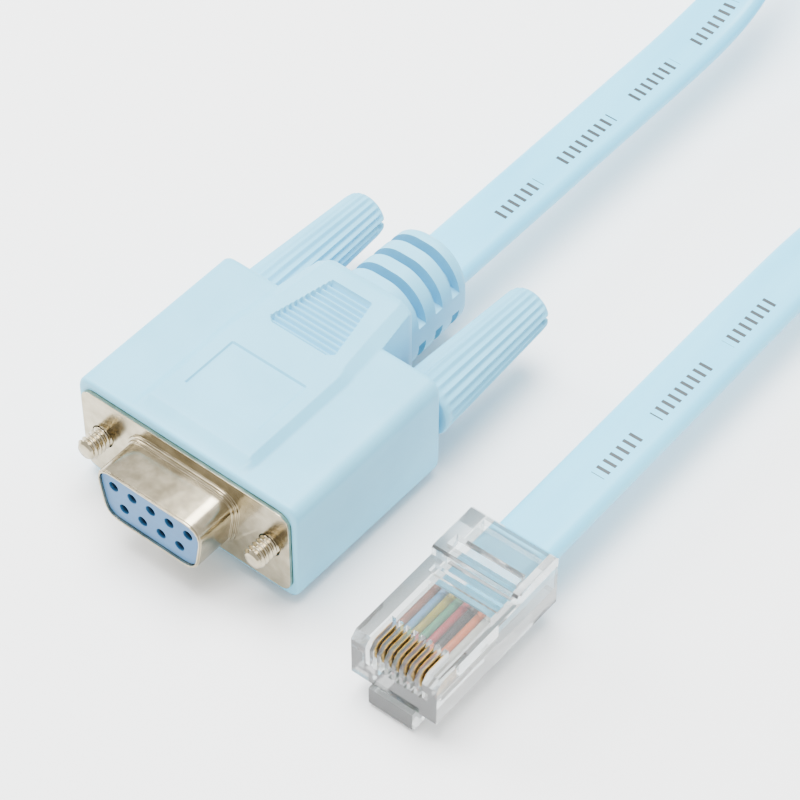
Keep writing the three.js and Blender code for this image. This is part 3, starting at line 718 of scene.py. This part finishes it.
# The larger of two reaches with the crease between them filled over the width k.
def softMax(a, b, k):
    t = np.clip(0.5 + (a - b) / (2 * k), 0, 1)
    return b + (a - b) * t + k * t * (1 - t)


# The hood is one skin: at each station y and direction round the axis, the larger reach of the flat
# block and of the spine, less the label recess, the grip and the boot's slots.
def makeHood(v):
    front, end = v["front"], v["length"]
    spine = np.array(v["spine"])
    fine = np.arange(0, 44.2, 0.05)
    table = np.stack([np.interp(fine, spine[:, 0], spine[:, c]) for c in range(1, 6)], -1)
    table = smoothRows(table, 2)

    first, last, gripFront, gripRear, gripDrop = v["grip"]
    ridgePitch = (last - first) / (v["grooves"] + 0.5)
    edges = [front, front + 0.1, front + 0.3, front + 0.6, 1.0, 1.2, 1.4, 2.2, 2.9, 3.1, 3.3, 4.5, 5.8]
    edges += [6.7, 6.75, 6.85, 6.95, 9, 11, 13, 14.7, 14.8, 14.9, 15.0, 16.5, 18, 18.6, 19.2, 19.7]
    edges += np.linspace(first - 0.06, last + 0.06, v["grooves"] * 9 + 6).tolist()
    edges += [29.8, 30.5, 31.0, 31.3, 31.6, 31.9, 32.1, 32.3, 32.5, 32.7, 32.9, 33.3, 33.9]
    for i in range(3):
        y = v["slotFirst"] + i * v["slotPitch"]
        w = v["slotWidth"]
        edges += [y - 0.2, y - 0.08, y, y + 0.01, y + 0.05, y + w / 2, y + w - 0.05, y + w - 0.01, y + w]
        edges += [y + w + 0.08, y + w + 0.2, y + w + 0.6]
    edges += [43.3, 43.45, 43.6, 43.72, 43.8]
    y = np.unique(np.round(edges, 4))[:, None]

    across = np.concatenate([
        np.arange(-16.1, -11, 0.35), np.arange(-11, 11.01, 0.16), np.arange(11.3, 16.2, 0.35),
    ])
    sideways = np.arange(-8.2, 8.3, 0.5)
    rim = np.concatenate([
        np.stack([across, np.full(len(across), 8.4)], -1),
        np.stack([np.full(len(sideways), 16.2), -sideways], -1),
        np.stack([-across, np.full(len(across), -8.4)], -1),
        np.stack([np.full(len(sideways), -16.2), sideways], -1),
    ])
    angle = np.arctan2(rim[:, 1], rim[:, 0])[None, :]
    c = np.maximum(np.abs(np.cos(angle)), 1e-6)
    s = np.maximum(np.abs(np.sin(angle)), 1e-6)

    w, h, rx, ry, roundness = [np.interp(y, fine, table[:, i]) for i in range(5)]
    spineReach = reach(c, s, w, h, np.maximum(rx, 0.05), np.maximum(ry, 0.05), roundness)
    # The block's edges are rounded at both ends by drawing its section in over the last half millimetre.
    tuck = 0.35 * (1 - np.sqrt(np.clip(1 - (1 - np.clip((y - front) / 0.5, 0, 1)) ** 2, 0, 1)))
    fade = np.clip((end - y) / 0.8, 0, 1)
    tuck = tuck + 0.7 * (1 - np.sqrt(np.clip(1 - (1 - fade) ** 2, 0, 1)))
    blockReach = reach(c, s, v["halfWidth"] - tuck, v["halfHeight"] - tuck, 1.4, 1.9, 1.0)
    blockReach = np.where(y <= end, blockReach, 0.5)
    spineReach = np.where(y < 1.2, 0.5, spineReach)
    r = softMax(blockReach, spineReach, v["fillet"])

    # Cuts from above and below.
    x = r * np.cos(angle)
    z = np.abs(r * np.sin(angle))
    half, labelFrom, labelTo, drop = v["label"]
    inLabel = ease(half - np.abs(x), -0.08, 0.08, 0, 1) * ease(y, labelFrom - 0.05, labelFrom + 0.05, 0, 1)
    inLabel = inLabel * ease(labelTo - y, -0.05, 0.05, 0, 1) * (angle > 0)
    gripHalf = gripFront + (gripRear - gripFront) * np.clip((y - first - 0.8) / (last - first - 0.8), 0, 1)
    gripHalf = gripHalf - 0.9 * np.clip(1 - (y - first) / 0.9, 0, 1) ** 2
    inGrip = ease(gripHalf - np.abs(x), -0.08, 0.08, 0, 1)
    inGrip = inGrip * ease(y, first - 0.05, first + 0.05, 0, 1) * ease(last - y, -0.05, 0.05, 0, 1)
    ridge = 0.5 - 0.5 * np.cos(2 * np.pi * (y - first) / ridgePitch + 0 * x)
    wave = gripDrop + v["grooveDepth"] * (1 - ridge ** 0.8)
    upper = (z > 4).astype(float)
    z = z - upper * (inLabel * drop + inGrip * wave)

    # The boot's slots run round the top and the bottom and stop at the side webs.
    inSlot = np.zeros_like(y)
    for i in range(3):
        a = v["slotFirst"] + i * v["slotPitch"]
        inSlot = np.maximum(inSlot, ((y >= a + 0.005) & (y <= a + v["slotWidth"] - 0.005)).astype(float))
    inSlot = inSlot * ease(z, v["webHalf"] - 0.35, v["webHalf"] + 0.35, 0, 1)
    core = reach(c, s, v["slotCore"] + 1.0, v["slotCore"], 1.5, 2.6, 1.0)
    full = np.hypot(x, z)
    scale = 1 - inSlot * (1 - np.minimum(core / full, 1))
    x, z = x * scale, z * scale
    z = np.where(angle < 0, -z, z)

    ox, oy, oz = v["origin"]
    grid = np.stack([x + ox, np.broadcast_to(y, x.shape) + oy, z + oz], -1)
    # The front turns in to the flange's seat, and the boot's end turns in to the cable.
    seat = reach(c, s, 15.46, 6.31, 1.8, 1.8, 1.0)
    ring = np.stack([seat * np.cos(angle), 0 * seat + front, seat * np.sin(angle)], -1) + v["origin"]
    floor = ring + np.array([0, 0.86 - front, 0])
    mouth = reach(c, s, 4.2, 1.45, 1.4, 1.4, 1.0)
    hole = np.stack([mouth * np.cos(angle), 0 * mouth + 43.8, mouth * np.sin(angle)], -1) + v["origin"]
    inner = hole - np.array([0, 0.8, 0])
    grid = np.concatenate([floor, ring, grid, hole, inner])
    print("hood skin %d x %d" % grid.shape[:2])
    return skinPiece("connectorHood", grid, None, 40)


hoodPiece = makeHood(hood)
dress(hoodPiece, pvc, "cable", "hood_plastic", "hood")
print("hood moulded")

# The thumbscrews, on the same axes as the hood.
thumbscrew = dict(
    spacing=25.0,
    knobStart=26.3,
    knobEnd=47.0,
    baseRadius=4.0,
    endRadius=3.0,
    flutes=22,
    fluteDepth=0.32,
    slotHalf=0.5,
    slotDepth=1.6,
    diameter=2.84,
    pitch=0.635,
    reachOut=3.0,
    threadEnd=4.2,
    shank=2.3,
)


# A tapered rod whose radius dips by the flute depth at each flute: r - d (0.5 - 0.5 cos(flutes a)) ^ 0.7.
def makeKnob(name, x, v):
    a = np.linspace(0, 2 * np.pi, v["flutes"] * 12 + 1)[:-1][None, :]
    start, end = v["knobStart"], v["knobEnd"]
    stations = np.array([
        (start, 0.55, 0.0), (start, 0.93, 0.0), (start + 0.12, 0.97, 0.0), (start + 0.35, 1.0, 0.0),
        (start + 0.9, 1.0, 0.15), (start + 1.5, 0.995, 1.0), (start + 5, 1.0, 1.0), (start + 12, 1.0, 1.0),
        (end - 1.4, 1.0, 0.9), (end - 0.7, 0.99, 0.6), (end - 0.3, 0.95, 0.25), (end - 0.08, 0.88, 0.05),
        (end, 0.8, 0.0), (end, 0.4, 0.0),
    ])
    y, share, cut = [stations[:, i:i + 1] for i in range(3)]
    taper = v["baseRadius"] + (v["endRadius"] - v["baseRadius"]) * (y - start) / (end - start)
    r = taper * share - v["fluteDepth"] * cut * (0.5 - 0.5 * np.cos(v["flutes"] * a)) ** 0.7
    ox, oy, oz = hood["origin"]
    grid = np.stack(np.broadcast_arrays(x + r * np.cos(a) + ox, y + oy, r * np.sin(a) + oz), -1)
    knob = skinPiece(name, grid, None, 50)
    cutScrewSlot(knob, x + ox, end + oy, oz, v)
    return knob


# A screwdriver slot across the end, cut with a plain block that is then removed.
def cutScrewSlot(knob, x, y, z, v):
    w, d = v["slotHalf"], v["slotDepth"]
    u = np.array([(-5, -w), (5, -w), (5, w), (-5, w)])
    block = np.stack([
        np.column_stack([u[:, 0] + x, np.full(4, y + dy), u[:, 1] + z]) for dy in (-d, 2.0)
    ])
    cutter = skinPiece("slotCutter", block)
    cut = knob.modifiers.new("slot", "BOOLEAN")
    cut.object = cutter
    cut.solver = "EXACT"
    graph = bpy.context.evaluated_depsgraph_get()
    done = bpy.data.meshes.new_from_object(knob.evaluated_get(graph))
    knob.modifiers.clear()
    knob.data = done
    bpy.data.objects.remove(cutter)


# A real helical thread: the radius is the crest's less a triangle wave of (y / pitch - turn), and the
# thread fades out at both ends.
def makeScrew(name, x, v):
    a = np.linspace(0, 2 * np.pi, 49)[:-1][None, :]
    y = np.arange(-v["reachOut"], v["threadEnd"], v["pitch"] / 12)[:, None]
    beat = np.mod(y / v["pitch"] - a / (2 * np.pi), 1)
    depth = 0.34 * np.clip(1.25 * np.abs(2 * beat - 1) - 0.125, 0, 1)
    crest = v["diameter"] / 2 - 0.4 * (1 - np.clip((y + v["reachOut"]) / 0.45, 0, 1))
    r = np.minimum(crest, v["diameter"] / 2 - depth)
    tail = np.array([[v["threadEnd"] + 0.3], [v["knobStart"] + 6]])
    y = np.concatenate([y[:1], y, tail])
    r = np.concatenate([0.5 * r[:1], r, np.full((2, 48), v["shank"] / 2)])
    ox, oy, oz = hood["origin"]
    grid = np.stack(np.broadcast_arrays(x + r * np.cos(a) + ox, y + oy, r * np.sin(a) + oz), -1)
    return skinPiece(name, grid, None, 60)


for sign, side in ((-1, "left"), (1, "right")):
    x = sign * thumbscrew["spacing"] / 2
    knob = makeKnob("thumbscrewKnob_" + side, x, thumbscrew)
    dress(knob, pvc, "thumbscrew_" + side, "hood_plastic", "thumbscrew_knob_" + side)
    screw = makeScrew("thumbscrewThread_" + side, x, thumbscrew)
    dress(screw, nickel, "thumbscrew_" + side, "nickel_plate", "thumbscrew_screw_" + side)
print("thumbscrews turned")

# The pressed shell keeps its solid's shape, with its points merged, its curved faces shaded smooth and its
# edges rounded as a pressing's are.
shellEdge = dict(round=0.16, segments=3, smoothBelow=34)


def makeShell(v):
    mesh = nodes["front_shell"].data.copy()
    work = bmesh.new()
    work.from_mesh(mesh)
    bmesh.ops.remove_doubles(work, verts=work.verts, dist=1e-7)
    bmesh.ops.dissolve_limit(work, angle_limit=0.01, verts=work.verts, edges=work.edges)
    work.to_mesh(mesh)
    work.free()
    mesh.polygons.foreach_set("use_smooth", np.ones(len(mesh.polygons), dtype=bool))
    mesh.set_sharp_from_angle(angle=math.radians(v["smoothBelow"]))
    shell = bpy.data.objects.new("pressedShell", mesh)
    bpy.context.scene.collection.objects.link(shell)
    edge = shell.modifiers.new("roundedEdge", "BEVEL")
    edge.width = v["round"] * mm
    edge.segments = v["segments"]
    edge.limit_method = "ANGLE"
    edge.angle_limit = math.radians(v["smoothBelow"])
    edge.harden_normals = True
    return shell


dress(makeShell(shellEdge), nickel, "cable", "nickel_plate", "front_shell")

# Pieces that keep their solid's shape.
kept = {"socket_insulator": polyester, "plug_housing": clear, "plug_latch": clear}
kept.update({"socket_contact_%d" % (i + 1): gold for i in range(9)})
kept.update({"plug_contact_%d" % (i + 1): gold for i in range(8)})
for name, material in kept.items():
    shown = nodes[name]
    shown.data.materials.clear()
    shown.data.materials.append(material)
print("kept pieces finished")

# Pale paper, an even white sky and two soft lights.
studio = dict(
    floorColour="#F7F8F8",
    skyColour="#FFFFFF",
    skyStrength=1.4,
    lights=[
        # name, place, size, power, aim
        ("overheadSoftbox", (-0.10, 0.10, 0.75), 0.55, 20.0, (0.0, 0.02, 0.0)),
        ("leftSoftbox", (-0.65, -0.10, 0.40), 0.40, 6.0, (0.0, 0.02, 0.0)),
    ],
)


def makeStudio(v):
    mesh = bpy.data.meshes.new("studioFloor")
    corners = np.array([(-3, -3, -0.00005), (3, -3, -0.00005), (3, 3, -0.00005), (-3, 3, -0.00005)])
    mesh.from_pydata(corners.tolist(), [], [(0, 1, 2, 3)])
    floor = bpy.data.objects.new("studioFloor", mesh)
    bpy.context.scene.collection.objects.link(floor)
    paper, tree, shader = startMaterial("paleStudioPaper", {
        "Base Color": hexColour(v["floorColour"]), "Roughness": 0.7, "Specular IOR Level": 0.2,
    })
    mesh.materials.append(paper)
    world = bpy.data.worlds.new("softSky")
    world.use_nodes = True
    world.node_tree.nodes.clear()
    sky = addNode(world.node_tree, "ShaderNodeBackground", {
        "Color": hexColour(v["skyColour"]), "Strength": v["skyStrength"],
    })
    addNode(world.node_tree, "ShaderNodeOutputWorld", None, {"Surface": (sky, 0)})
    bpy.context.scene.world = world
    for name, place, size, power, aim in v["lights"]:
        data = bpy.data.lights.new(name, "AREA")
        data.shape = "SQUARE"
        data.size = size
        data.energy = power
        light = bpy.data.objects.new(name, data)
        light.location = place
        light.rotation_mode = "QUATERNION"
        light.rotation_quaternion = (Vector(aim) - Vector(place)).to_track_quat("-Z", "Y")
        bpy.context.scene.collection.objects.link(light)


makeStudio(studio)
print("studio lit")
